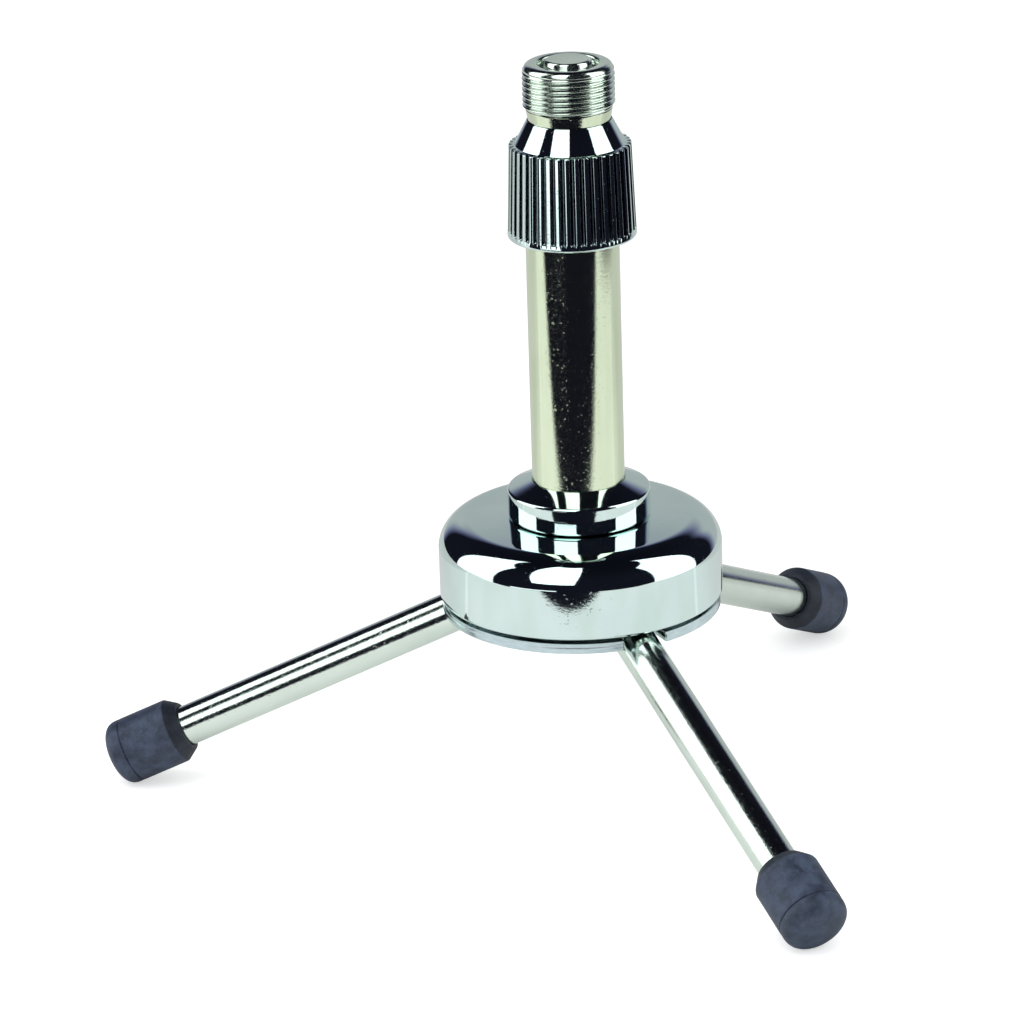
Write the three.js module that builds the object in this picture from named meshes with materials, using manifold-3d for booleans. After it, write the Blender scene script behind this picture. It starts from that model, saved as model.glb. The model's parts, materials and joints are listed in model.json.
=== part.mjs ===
// Folding desktop microphone stand: a telescopic column on a round base with three fold-down legs.
// Millimetres, +Z up. The origin is on the desk, under the middle of the column.

import * as THREE from 'three';
import { mergeVertices } from 'three/addons/utils/BufferGeometryUtils.js';
import Module from 'manifold-3d';

// ---------------------------------------------------------------- driving dimensions

const GAP = 0.3;                    // room between pieces that touch or turn in each other
const SEGMENTS = 40;                // flats round a large turned piece
const FINE_SEGMENTS = 24;           // flats round a slim turned piece
const SEAT = 0.1;                   // room between two faces that rest on each other
const CHAMFER = 0.3;                // broken edges of turned pieces

// Legs
const LEG_COUNT = 3;
const LEG_FIRST_AZIMUTH = 60;       // degrees; the others follow every 120 degrees
const LEG_SLOPE = 24.21;            // degrees below the horizontal when open
const LEG_LENGTH = 93.2;            // from the column's axis to the tip of the foot, along the leg
const LEG_RADIUS = 3.6;
const LEG_WALL = 0.8;
const LEG_TUBE_START = 20.5;        // along the leg, from the column's axis
const LEG_TUBE_END = 89;
const FOOT_RADIUS = 5.898;
const FOOT_DOME = 3.8;              // height of the domed end
const FOOT_DOME_POWER = 0.57;       // 1 is an ellipse; a smaller power has a squarer edge
const FOOT_DOME_STEPS = 9;
const FOOT_BODY = 12.7;             // tip to the start of the bevelled lip
const FOOT_LENGTH = 14.9;           // tip to the mouth

// Hinges
const PIN_REACH = 12.5;             // from the column's axis to each hinge pin
const PIN_RADIUS = 1.25;
const PIN_LENGTH = 13;
const TONGUE_THICKNESS = 3;
const TONGUE_EYE = 3;               // radius of the eye round the pin
const TONGUE_HALF_HEIGHT = 2.1;
const TONGUE_LENGTH = 20;           // from the pin into the leg tube

// Base
const PLATE_BOTTOM = 33.9;
const PLATE_THICKNESS = 1.5;
const PLATE_RADIUS = 24.5;
const PLATE_SLOT_WIDTH = 8;
const COVER_RIM = 36.5;
const COVER_TOP = 50.8;
const COVER_RADIUS = 24.9;
const COVER_SHOULDER = 5.58;
const COVER_CREASE = 45.55;         // height of the faint crease where the shoulder starts
const COVER_CREASE_ANGLE = 6.5;     // degrees
const COVER_CROWN_ANGLE = 88.4;     // degrees; the top rises evenly from there to the hole
const COVER_WALL = 1;
const HUB_RADIUS = 16;
const HUB_HEIGHT = 5.7;
const BOSS_RADIUS = 10.6;
const SOCKET_FLOOR = 41.6;          // where the column's tube lands in the hub
const COLLAR_RADIUS = 12.5;
const COLLAR_EDGE = 55.8;
const COLLAR_TOP = 57.5;
const COLLAR_FILLET = 0.5;

// Base fastener, an M6 hexagon screw and its washer
const SCREW_RADIUS = 2.9;
const SCREW_HEAD_RADIUS = 5.6;
const SCREW_HEAD_HEIGHT = 4;
const SCREW_END = 49;
const WASHER_RADIUS = 6.4;
const WASHER_THICKNESS = 0.8;

// Column
const OUTER_TUBE_RADIUS = 8.1;
const OUTER_TUBE_BORE = 7.3;
const OUTER_TUBE_TOP = 109;
const TUBE_PLUG_TOP = 51.5;
const INNER_TUBE_RADIUS = 7.13;
const INNER_TUBE_BORE = 6.3;
const INNER_TUBE_BOTTOM = 54;
const END_CAP_FLANGE = 1.5;
const END_CAP_STEM = 8;

// Clutch
const NUT_BOTTOM = 101.8;
const NUT_BAND = 1.2;               // plain band under the flutes
const NUT_LEDGE = 118.2;
const NUT_TOP = 122.5;
const NUT_BOTTOM_RADIUS = 11.14;
const NUT_LEDGE_RADIUS = 10.53;
const NUT_CONE_RADIUS = 9.41;
const NUT_BORE = 7.3;
const NUT_THREAD_BORE = 9.5;
const FLUTE_COUNT = 40;
const FLUTE_DEPTH = 0.6;
const FLUTE_SHARE = 0.5;            // groove width as a share of the pitch
const BUSH_RADIUS = 9.2;
const BUSH_BOTTOM = 103.8;
const BUSH_TOP = 111;
const COLLET_RADIUS = 9.1;
const COLLET_TIP_RADIUS = 8;
const COLLET_TOP = 117.2;
const COLLET_SLIT = 1.2;

// Microphone thread, 5/8 inch with 27 turns to the inch
const THREAD_RADIUS = 7.94;
const THREAD_PITCH = 25.4 / 27;
const THREAD_DEPTH = 0.5;
const THREAD_TURNS = 7;
const SPIGOT_BOTTOM = 124.6;
const SPIGOT_TOP = 132.4;
const SPIGOT_BORE = 5.3;
const SPIGOT_STEM = 8;
const BUTTON_RADIUS = 4;
const STAND_HEIGHT = 133.2;

// ---------------------------------------------------------------- worked-out places

const slope = THREE.MathUtils.degToRad(LEG_SLOPE);

// The domed end of a foot, from its edge to its tip, as [radius, distance along the leg].
const footDome = Array.from({ length: FOOT_DOME_STEPS }, (_, i) => {
  const angle = Math.PI / 2 * i / FOOT_DOME_STEPS;
  const height = FOOT_DOME * Math.sin(angle) ** FOOT_DOME_POWER;
  return [FOOT_RADIUS * Math.cos(angle), LEG_LENGTH - FOOT_DOME + height];
});

// Height at which the legs' axes meet the column's, with the lowest point of each dome on the desk.
const legCrossing = Math.max(
  ...footDome.map(([radius, along]) => radius * Math.cos(slope) + along * Math.sin(slope)),
);
const pinAlong = PIN_REACH / Math.cos(slope);
const pinHeight = legCrossing - pinAlong * Math.sin(slope);
const plateTop = PLATE_BOTTOM + PLATE_THICKNESS;
const hubBottom = plateTop + GAP;
const tongueSlotWidth = TONGUE_THICKNESS + 2 * GAP;
const eyeClearance = TONGUE_EYE + 0.4;
const legAzimuths = Array.from(
  { length: LEG_COUNT },
  (_, i) => THREE.MathUtils.degToRad(LEG_FIRST_AZIMUTH + i * 360 / LEG_COUNT),
);

// ---------------------------------------------------------------- materials

const finish = (color, roughness, metalness) => new THREE.MeshStandardMaterial({ color, roughness, metalness });
const chrome = finish(0xc9d2d8, 0.06, 1);
const nickel = finish(0xc9ccb4, 0.16, 1);
const steel = finish(0x8f9294, 0.4, 1);
const zinc = finish(0x9a9c9c, 0.5, 1);
const brass = finish(0xb59b55, 0.35, 1);
const rubber = finish(0x353a47, 0.75, 0);
const nylon = finish(0xd8d4c8, 0.55, 0);

// ---------------------------------------------------------------- shape helpers

const wasm = await Module();
wasm.setup();

const vector = ([x, y]) => new THREE.Vector2(x, y);
const polar = (radius, angle) => [radius * Math.cos(angle), radius * Math.sin(angle)];

// Points of a round stretch from one angle to another, both ends included.
function arc(centreX, centreY, radius, from, to, steps) {
  return Array.from({ length: steps + 1 }, (_, i) => {
    const [x, y] = polar(radius, THREE.MathUtils.degToRad(from + (to - from) * i / steps));
    return [centreX + x, centreY + y];
  });
}

// A turned piece about Z. The profile is [radius, height] points, anticlockwise with the radius to the
// right. It starts and ends on the axis, or closes on itself.
function turned(profile, segments = SEGMENTS) {
  const onAxis = profile[0][0] === 0;
  const points = (onAxis ? profile : [...profile, profile[0]]).map(vector);
  return new THREE.LatheGeometry(points, segments).rotateX(Math.PI / 2);
}

// A flat outline with optional holes, pushed up from z = 0 by the thickness.
function plate(outline, thickness, holes = []) {
  const shape = new THREE.Shape(outline.map(vector));
  shape.holes = holes.map((hole) => new THREE.Path(hole.map(vector)));
  return new THREE.ExtrudeGeometry(shape, { depth: thickness, bevelEnabled: false });
}

// A flat piece that stands in the XZ plane, centred on it.
function upright(outline, thickness, holes = []) {
  return plate(outline, thickness, holes).translate(0, 0, -thickness / 2).rotateX(Math.PI / 2);
}

// A round bar along Y, centred on the origin, with chamfered ends.
function crossBar(radius, length, chamfer = 0, segments = FINE_SEGMENTS) {
  const half = length / 2;
  const profile = [
    [0, -half], [radius - chamfer, -half], [radius, -half + chamfer],
    [radius, half - chamfer], [radius - chamfer, half], [0, half],
  ];
  return turned(profile, segments).rotateX(Math.PI / 2);
}

function toSolid(geometry) {
  const bare = geometry.clone();
  bare.deleteAttribute('normal');
  bare.deleteAttribute('uv');
  const merged = mergeVertices(bare, 1e-4);
  const corners = merged.index.array;
  const kept = [];
  for (let i = 0; i < corners.length; i += 3) {
    const [a, b, c] = corners.slice(i, i + 3);
    if (a !== b && b !== c && c !== a) kept.push(a, b, c);
  }
  return new wasm.Manifold(new wasm.Mesh({
    numProp: 3,
    vertProperties: new Float32Array(merged.attributes.position.array),
    triVerts: new Uint32Array(kept),
  }));
}

function toGeometry(solid) {
  const mesh = solid.getMesh();
  const geometry = new THREE.BufferGeometry();
  geometry.setAttribute('position', new THREE.BufferAttribute(mesh.vertProperties, 3));
  geometry.setIndex(new THREE.BufferAttribute(mesh.triVerts, 1));
  return geometry;
}

const cut = (geometry, cutters) => toGeometry(
  cutters.reduce((solid, cutter) => solid.subtract(toSolid(cutter)), toSolid(geometry)),
);

const stand = new THREE.Group();

function add(name, geometry, material, parent = stand) {
  const mesh = new THREE.Mesh(geometry, material);
  mesh.name = name;
  parent.add(mesh);
  return mesh;
}

// ---------------------------------------------------------------- base

// Spun cover: a shell with a round shoulder above a faint crease, open underneath.
function baseCover() {
  const hole = OUTER_TUBE_RADIUS + GAP;
  const [inwards, upwards] = polar(COVER_SHOULDER, THREE.MathUtils.degToRad(COVER_CREASE_ANGLE));
  const middle = [COVER_RADIUS - inwards, COVER_CREASE - upwards];
  return turned([
    [COVER_RADIUS - COVER_WALL, COVER_RIM],
    [COVER_RADIUS - CHAMFER, COVER_RIM],
    [COVER_RADIUS, COVER_RIM + CHAMFER],
    ...arc(...middle, COVER_SHOULDER, COVER_CREASE_ANGLE, COVER_CROWN_ANGLE, 6),
    [hole, COVER_TOP],
    [hole, COVER_TOP - COVER_WALL],
    ...arc(...middle, COVER_SHOULDER - COVER_WALL, COVER_CROWN_ANGLE, COVER_CREASE_ANGLE, 5),
  ]);
}

// Turned collar that is pressed on the column and holds the cover down on the hub.
function baseCollar() {
  const bottom = COVER_TOP + SEAT;
  const bore = OUTER_TUBE_RADIUS + GAP;
  const edge = COLLAR_RADIUS - COLLAR_FILLET;
  return turned([
    [bore, bottom],
    [edge, bottom],
    [COLLAR_RADIUS, bottom + COLLAR_FILLET],
    ...arc(edge, COLLAR_EDGE - COLLAR_FILLET, COLLAR_FILLET, 0, 64, 3),
    [bore + CHAMFER, COLLAR_TOP],
    [bore, COLLAR_TOP],
  ]);
}

// Cast hub: a disc with three slots for the legs' tongues, and a socket for the column on top.
// The roof of each slot slopes with the open leg, and is the leg's stop.
function hingeHub() {
  const screwHole = SCREW_RADIUS + GAP;
  const socket = OUTER_TUBE_RADIUS + GAP;
  const hubTop = hubBottom + HUB_HEIGHT;
  const bossTop = COVER_TOP - COVER_WALL - GAP - SEAT;
  const body = turned([
    [screwHole, hubBottom],
    [HUB_RADIUS, hubBottom],
    [HUB_RADIUS, hubTop - 0.6],
    [HUB_RADIUS - 0.6, hubTop],
    [BOSS_RADIUS, hubTop + 0.8],
    [BOSS_RADIUS, bossTop],
    [socket, bossTop],
    [socket, SOCKET_FLOOR],
    [screwHole, SOCKET_FLOOR],
  ]);
  const roof = TONGUE_HALF_HEIGHT + GAP;
  const roofStart = -THREE.MathUtils.radToDeg(Math.asin(-roof / eyeClearance)) - LEG_SLOPE;
  const outside = HUB_RADIUS + 2;
  const below = hubBottom - 2;
  const roofHeight = pinHeight + (roof - (outside - PIN_REACH) * Math.sin(slope)) / Math.cos(slope);
  const slotOutline = [
    [PIN_REACH - eyeClearance, below],
    [outside, below],
    [outside, roofHeight],
    ...arc(PIN_REACH, pinHeight, eyeClearance, roofStart, 180, 8),
  ];
  const cutters = legAzimuths.flatMap((azimuth) => [
    upright(slotOutline, tongueSlotWidth).rotateZ(azimuth),
    crossBar(PIN_RADIUS + GAP, 2 * HUB_RADIUS).translate(PIN_REACH, 0, pinHeight).rotateZ(azimuth),
  ]);
  return cut(body, cutters);
}

// Stamped plate with a round-ended slot, open at the rim, for each leg.
function bottomPlate() {
  const halfSlot = PLATE_SLOT_WIDTH / 2;
  const mouth = THREE.MathUtils.radToDeg(Math.asin(halfSlot / PLATE_RADIUS));
  const outline = legAzimuths.flatMap((azimuth) => {
    const middle = THREE.MathUtils.radToDeg(azimuth);
    const slotEnd = arc(PIN_REACH, 0, halfSlot, 270, 90, 10).map(([x, y]) => {
      const [c, s] = polar(1, azimuth);
      return [x * c - y * s, x * s + y * c];
    });
    const rim = arc(0, 0, PLATE_RADIUS, middle + mouth, middle + 360 / LEG_COUNT - mouth, 16);
    return [...slotEnd, ...rim];
  });
  const screwHole = arc(0, 0, SCREW_RADIUS + GAP, 0, 345, FINE_SEGMENTS - 1);
  return plate(outline, PLATE_THICKNESS, [screwHole]).translate(0, 0, PLATE_BOTTOM);
}

// Hexagon screw that draws the plate, the hub and the column together from below.
function baseScrew() {
  const headTop = PLATE_BOTTOM - 2 * GAP - WASHER_THICKNESS;
  const hexagon = arc(0, 0, SCREW_HEAD_RADIUS, 0, 300, 5);
  const head = plate(hexagon, SCREW_HEAD_HEIGHT).translate(0, 0, headTop - SCREW_HEAD_HEIGHT);
  const shank = turned([
    [0, headTop - 1],
    [SCREW_RADIUS, headTop - 1],
    [SCREW_RADIUS, SCREW_END - 0.6],
    [SCREW_RADIUS - 0.6, SCREW_END],
    [0, SCREW_END],
  ], FINE_SEGMENTS);
  return toGeometry(toSolid(head).add(toSolid(shank)));
}

function baseWasher() {
  const top = PLATE_BOTTOM - GAP;
  return turned([
    [SCREW_RADIUS + GAP, top - WASHER_THICKNESS],
    [WASHER_RADIUS, top - WASHER_THICKNESS],
    [WASHER_RADIUS, top],
    [SCREW_RADIUS + GAP, top],
  ], FINE_SEGMENTS);
}

add('base_cover', baseCover(), chrome);
add('base_collar', baseCollar(), chrome);
add('hinge_hub', hingeHub(), zinc);
add('bottom_plate', bottomPlate(), steel);
add('base_screw', baseScrew(), steel);
add('base_washer', baseWasher(), steel);

// ---------------------------------------------------------------- legs and hinges

// Flat tongue that is crimped in the end of a leg tube and turns on the hinge pin at its own origin.
function legTongue() {
  const neck = THREE.MathUtils.radToDeg(Math.asin(TONGUE_HALF_HEIGHT / TONGUE_EYE));
  const outline = [
    [TONGUE_LENGTH, -TONGUE_HALF_HEIGHT],
    [TONGUE_LENGTH, TONGUE_HALF_HEIGHT],
    ...arc(0, 0, TONGUE_EYE, neck, 360 - neck, 16),
  ];
  const pinHole = arc(0, 0, PIN_RADIUS + GAP, 0, 337.5, 15);
  return upright(outline, TONGUE_THICKNESS, [pinHole]);
}

// Turned about the leg's own axis, which is X from the hinge pin outwards.
const alongLeg = (profile) => turned(
  profile.map(([radius, along]) => [radius, along - pinAlong]),
  FINE_SEGMENTS,
).rotateY(Math.PI / 2);

const legTube = () => alongLeg([
  [LEG_RADIUS - LEG_WALL, LEG_TUBE_START],
  [LEG_RADIUS - 0.2, LEG_TUBE_START],
  [LEG_RADIUS, LEG_TUBE_START + 0.2],
  [LEG_RADIUS, LEG_TUBE_END],
  [LEG_RADIUS - LEG_WALL, LEG_TUBE_END],
]);

// Rubber cap: a cup with a bevelled mouth and a domed end.
function footCap() {
  const socket = LEG_RADIUS + GAP;
  const mouth = LEG_LENGTH - FOOT_LENGTH;
  return alongLeg([
    [0, LEG_TUBE_END + GAP],
    [socket, LEG_TUBE_END + GAP],
    [socket, mouth],
    [socket + 0.5, mouth],
    [FOOT_RADIUS, LEG_LENGTH - FOOT_BODY],
    ...footDome,
    [0, LEG_LENGTH],
  ]);
}

const hingePin = () => crossBar(PIN_RADIUS, PIN_LENGTH, 0.25, 16);

legAzimuths.forEach((azimuth, i) => {
  const side = new THREE.Group();
  side.rotation.z = azimuth;
  stand.add(side);

  const hinge = new THREE.Group();
  hinge.position.set(PIN_REACH, 0, pinHeight);
  side.add(hinge);
  add(`leg_pin_${i + 1}`, hingePin(), steel, hinge);

  const leg = new THREE.Group();
  leg.rotation.y = slope;
  hinge.add(leg);
  add(`leg_tongue_${i + 1}`, legTongue(), steel, leg);
  add(`leg_tube_${i + 1}`, legTube(), nickel, leg);
  add(`foot_cap_${i + 1}`, footCap(), rubber, leg);
});

// ---------------------------------------------------------------- column

const sleeve = (bore, radius, bottom, top) => turned([
  [bore, bottom],
  [radius, bottom],
  [radius, top],
  [bore, top],
]);

// Guide cap in the lower end of the inner tube.
function rodEndCap() {
  const stem = INNER_TUBE_BORE - GAP;
  const flangeTop = INNER_TUBE_BOTTOM - SEAT;
  return turned([
    [0, flangeTop - END_CAP_FLANGE],
    [INNER_TUBE_RADIUS - CHAMFER, flangeTop - END_CAP_FLANGE],
    [INNER_TUBE_RADIUS, flangeTop - END_CAP_FLANGE + CHAMFER],
    [INNER_TUBE_RADIUS, flangeTop],
    [stem, flangeTop],
    [stem, flangeTop + END_CAP_STEM - 0.5],
    [stem - 0.5, flangeTop + END_CAP_STEM],
    [0, flangeTop + END_CAP_STEM],
  ], FINE_SEGMENTS);
}

add('outer_tube', sleeve(OUTER_TUBE_BORE, OUTER_TUBE_RADIUS, SOCKET_FLOOR + SEAT, OUTER_TUBE_TOP), nickel);
add('tube_plug', sleeve(SCREW_RADIUS + GAP, OUTER_TUBE_BORE - GAP, SOCKET_FLOOR + SEAT, TUBE_PLUG_TOP), steel);
add('inner_tube', sleeve(INNER_TUBE_BORE, INNER_TUBE_RADIUS, INNER_TUBE_BOTTOM, SPIGOT_BOTTOM - SEAT), nickel);
add('rod_end_cap', rodEndCap(), nylon);

// ---------------------------------------------------------------- clutch

// Bush on the top end of the outer tube; the clutch nut turns on its outside.
const clutchBush = () => turned([
  [OUTER_TUBE_RADIUS + GAP, BUSH_BOTTOM],
  [BUSH_RADIUS - CHAMFER, BUSH_BOTTOM],
  [BUSH_RADIUS, BUSH_BOTTOM + CHAMFER],
  [BUSH_RADIUS, BUSH_TOP],
  [OUTER_TUBE_BORE, BUSH_TOP],
  [OUTER_TUBE_BORE, OUTER_TUBE_TOP + GAP],
  [OUTER_TUBE_RADIUS + GAP, OUTER_TUBE_TOP + GAP],
]);

// Split cone that the nut squeezes on the inner tube.
function clutchCollet() {
  const bottom = BUSH_TOP + GAP;
  const ring = turned([
    [OUTER_TUBE_BORE, bottom],
    [COLLET_RADIUS, bottom],
    [COLLET_RADIUS, bottom + 1.5],
    [COLLET_TIP_RADIUS, COLLET_TOP],
    [OUTER_TUBE_BORE, COLLET_TOP],
  ]);
  const slit = new THREE.BoxGeometry(COLLET_RADIUS, COLLET_SLIT, COLLET_TOP);
  return cut(ring, [slit.translate(COLLET_RADIUS / 2 + 4, 0, COLLET_TOP)]);
}

// Outline of the nut's grip: ridges with hollow flutes between them. The first ridge faces +X.
function flutedOutline(radius) {
  const pitch = 2 * Math.PI / FLUTE_COUNT;
  const flute = pitch * FLUTE_SHARE;
  const ridgeEnd = (pitch - flute) / 2;
  return Array.from({ length: FLUTE_COUNT }, (_, i) => i * pitch + ridgeEnd).flatMap((start) => [
    polar(radius, start),
    polar(radius - FLUTE_DEPTH, start + flute * 0.3),
    polar(radius - FLUTE_DEPTH, start + flute * 0.7),
    polar(radius, start + flute),
  ]);
}

// Narrows a straight grip evenly from its bottom to its top.
function tapered(geometry, bottom, top, topScale) {
  const place = geometry.attributes.position;
  for (let i = 0; i < place.count; i += 1) {
    const share = (place.getZ(i) - bottom) / (top - bottom);
    const scale = 1 + (topScale - 1) * share;
    place.setXY(i, place.getX(i) * scale, place.getY(i) * scale);
  }
  return geometry;
}

// Clutch nut: plain band, fluted and slightly tapered grip, flat ledge and polished cone.
function clutchNut() {
  const gripBottom = NUT_BOTTOM + NUT_BAND;
  const band = turned([
    [0, NUT_BOTTOM],
    [NUT_BOTTOM_RADIUS - 0.4, NUT_BOTTOM],
    [NUT_BOTTOM_RADIUS, NUT_BOTTOM + 0.4],
    [NUT_BOTTOM_RADIUS, gripBottom],
    [0, gripBottom],
  ], FLUTE_COUNT);
  const grip = tapered(
    plate(flutedOutline(NUT_BOTTOM_RADIUS), NUT_LEDGE - NUT_BOTTOM - 0.5).translate(0, 0, NUT_BOTTOM + 0.5),
    NUT_BOTTOM,
    NUT_LEDGE,
    NUT_LEDGE_RADIUS / NUT_BOTTOM_RADIUS,
  );
  const cone = turned([
    [0, NUT_LEDGE - 1],
    [NUT_CONE_RADIUS, NUT_LEDGE - 1],
    [NUT_CONE_RADIUS, NUT_LEDGE + 0.3],
    [NUT_BORE + 0.12, NUT_TOP],
    [0, NUT_TOP],
  ]);
  const bore = turned([
    [0, NUT_BOTTOM - 1],
    [OUTER_TUBE_RADIUS + GAP, NUT_BOTTOM - 1],
    [OUTER_TUBE_RADIUS + GAP, BUSH_BOTTOM - GAP],
    [NUT_THREAD_BORE, BUSH_BOTTOM - GAP],
    [NUT_THREAD_BORE, BUSH_TOP + 2],
    [COLLET_TIP_RADIUS + GAP, COLLET_TOP + GAP],
    [NUT_BORE, COLLET_TOP + GAP],
    [NUT_BORE, NUT_TOP + 1],
    [0, NUT_TOP + 1],
  ]);
  return toGeometry(toSolid(band).add(toSolid(grip)).add(toSolid(cone)).subtract(toSolid(bore)));
}

add('clutch_bush', clutchBush(), brass);
add('clutch_collet', clutchCollet(), nylon);
add('clutch_nut', clutchNut(), chrome);

// ---------------------------------------------------------------- microphone thread

// Threaded spigot with its stem in the inner tube. Parallel ridges stand for the helix.
function threadSpigot() {
  const stem = INNER_TUBE_BORE - GAP;
  const root = THREAD_RADIUS - THREAD_DEPTH;
  const ridges = Array.from({ length: THREAD_TURNS }, (_, i) => {
    const foot = SPIGOT_BOTTOM + 0.3 + i * THREAD_PITCH;
    return [[root, foot], [THREAD_RADIUS, foot + 0.4 * THREAD_PITCH], [THREAD_RADIUS, foot + 0.6 * THREAD_PITCH]];
  }).flat();
  return turned([
    [SPIGOT_BORE, SPIGOT_BOTTOM - SPIGOT_STEM],
    [stem, SPIGOT_BOTTOM - SPIGOT_STEM],
    [stem, SPIGOT_BOTTOM],
    [root, SPIGOT_BOTTOM],
    ...ridges,
    [root, SPIGOT_TOP - 0.6],
    [root - 0.6, SPIGOT_TOP],
    [SPIGOT_BORE, SPIGOT_TOP],
  ], FINE_SEGMENTS);
}

// Plug that closes the spigot's bore, with a flat button a little proud of the rim.
function spigotPlug() {
  const radius = SPIGOT_BORE - GAP;
  return turned([
    [0, SPIGOT_BOTTOM],
    [radius, SPIGOT_BOTTOM],
    [radius, SPIGOT_TOP - 1],
    [BUTTON_RADIUS + 0.3, SPIGOT_TOP - 0.4],
    [BUTTON_RADIUS + 0.3, STAND_HEIGHT - 0.3],
    [BUTTON_RADIUS, STAND_HEIGHT],
    [0, STAND_HEIGHT],
  ], FINE_SEGMENTS);
}

add('thread_spigot', threadSpigot(), nickel);
add('spigot_plug', spigotPlug(), nickel);

export default stand;
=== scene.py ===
"""Looks of a folding desktop microphone stand: fine meshes, finishes and a studio around the CAD frame.

Lengths are metres. Turned pieces are built about an axis from outlines of (radius, height) points.
"""

import json
import math

import bmesh
import bpy
from mathutils import Matrix, Vector


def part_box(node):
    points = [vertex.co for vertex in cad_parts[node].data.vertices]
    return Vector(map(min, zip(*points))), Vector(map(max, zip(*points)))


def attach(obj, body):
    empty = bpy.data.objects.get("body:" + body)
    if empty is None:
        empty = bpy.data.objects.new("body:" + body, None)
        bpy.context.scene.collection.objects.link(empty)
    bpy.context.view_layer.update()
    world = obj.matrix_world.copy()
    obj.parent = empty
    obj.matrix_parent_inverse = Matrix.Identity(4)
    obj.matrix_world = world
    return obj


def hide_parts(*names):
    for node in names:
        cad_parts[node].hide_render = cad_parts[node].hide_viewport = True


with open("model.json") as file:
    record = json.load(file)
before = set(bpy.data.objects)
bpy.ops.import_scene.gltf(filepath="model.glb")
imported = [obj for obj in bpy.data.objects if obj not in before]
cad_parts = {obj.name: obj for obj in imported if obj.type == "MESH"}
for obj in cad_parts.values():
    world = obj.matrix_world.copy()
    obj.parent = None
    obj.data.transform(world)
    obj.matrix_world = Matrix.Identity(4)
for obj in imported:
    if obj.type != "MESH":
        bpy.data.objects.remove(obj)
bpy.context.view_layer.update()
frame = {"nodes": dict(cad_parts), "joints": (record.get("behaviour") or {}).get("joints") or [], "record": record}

MM = 0.001
UP = Vector((0, 0, 1))


def turned_to(x_axis, y_axis, z_axis):
    """The rotation that takes X, Y and Z to these directions."""
    return Matrix((x_axis, y_axis, z_axis)).transposed().to_4x4()


# ---------------------------------------------------------------- camera

CAMERA_PLACE = Vector((49.5, -832.0, 361.2)) * MM
CAMERA_HEADING = math.radians(4.217)      # turned left of +Y
CAMERA_TILT = math.radians(20.40)         # looking down
CAMERA_ROLL = math.radians(1.76)          # the picture leans this much to the left
CAMERA_LENS = 178.4                       # mm, on a sensor 36 mm wide
SENSOR_WIDTH = 36


def make_camera():
    """A long lens a little above the stand, as for a catalogue picture."""
    data = bpy.data.cameras.new("camera")
    data.lens = CAMERA_LENS
    data.sensor_width = SENSOR_WIDTH
    data.clip_start = 0.01
    data.clip_end = 20
    forward = Vector((
        -math.sin(CAMERA_HEADING) * math.cos(CAMERA_TILT),
        math.cos(CAMERA_HEADING) * math.cos(CAMERA_TILT),
        -math.sin(CAMERA_TILT),
    ))
    level_right = forward.cross(UP).normalized()
    level_up = level_right.cross(forward)
    right = math.cos(CAMERA_ROLL) * level_right - math.sin(CAMERA_ROLL) * level_up
    up = math.sin(CAMERA_ROLL) * level_right + math.cos(CAMERA_ROLL) * level_up
    camera = bpy.data.objects.new("camera", data)
    camera.matrix_world = Matrix.Translation(CAMERA_PLACE) @ turned_to(right, up, -forward)
    bpy.context.scene.collection.objects.link(camera)
    bpy.context.scene.camera = camera


make_camera()

# ---------------------------------------------------------------- node helpers


class Nodes:
    """Short names for building a node tree."""

    def __init__(self, tree):
        self.tree = tree
        tree.nodes.clear()

    def add(self, kind, inputs=None, **settings):
        node = self.tree.nodes.new(kind)
        for name, value in settings.items():
            setattr(node, name, value)
        for name, value in (inputs or {}).items():
            self.feed(node.inputs[name], value)
        return node

    def feed(self, socket, value):
        if isinstance(value, bpy.types.NodeSocket):
            self.tree.links.new(value, socket)
        else:
            socket.default_value = value

    def math(self, operation, first, second=0.0, third=0.0):
        node = self.add("ShaderNodeMath", {0: first, 1: second, 2: third}, operation=operation)
        return node.outputs[0]

    def remap(self, value, low, high, to_low=0.0, to_high=1.0, smooth=True):
        node = self.add(
            "ShaderNodeMapRange",
            {"Value": value, "From Min": low, "From Max": high, "To Min": to_low, "To Max": to_high},
            interpolation_type="SMOOTHSTEP" if smooth else "LINEAR",
        )
        return node.outputs[0]

    def mix(self, factor, first, second):
        node = self.add("ShaderNodeMix", {0: factor, 6: first, 7: second}, data_type="RGBA")
        return node.outputs[2]

    def noise(self, place, scale, detail, roughness=0.5):
        node = self.add("ShaderNodeTexNoise", {
            "Vector": place, "Scale": scale, "Detail": detail, "Roughness": roughness,
        })
        return node.outputs["Fac"]

    def scaled(self, value, scale):
        node = self.add("ShaderNodeVectorMath", {0: value, 1: scale}, operation="MULTIPLY")
        return node.outputs[0]

    def along(self, value, axis):
        node = self.add("ShaderNodeVectorMath", {0: value, 1: axis}, operation="DOT_PRODUCT")
        return node.outputs["Value"]


# ---------------------------------------------------------------- studio

WHITE = (1, 1, 1, 1)
HEADING_TO_CAMERA = math.atan2(CAMERA_PLACE.y, CAMERA_PLACE.x)
TO_CAMERA = Vector((math.cos(HEADING_TO_CAMERA), math.sin(HEADING_TO_CAMERA), 0))
TO_RIGHT = Vector((-TO_CAMERA.y, TO_CAMERA.x, 0))

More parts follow.
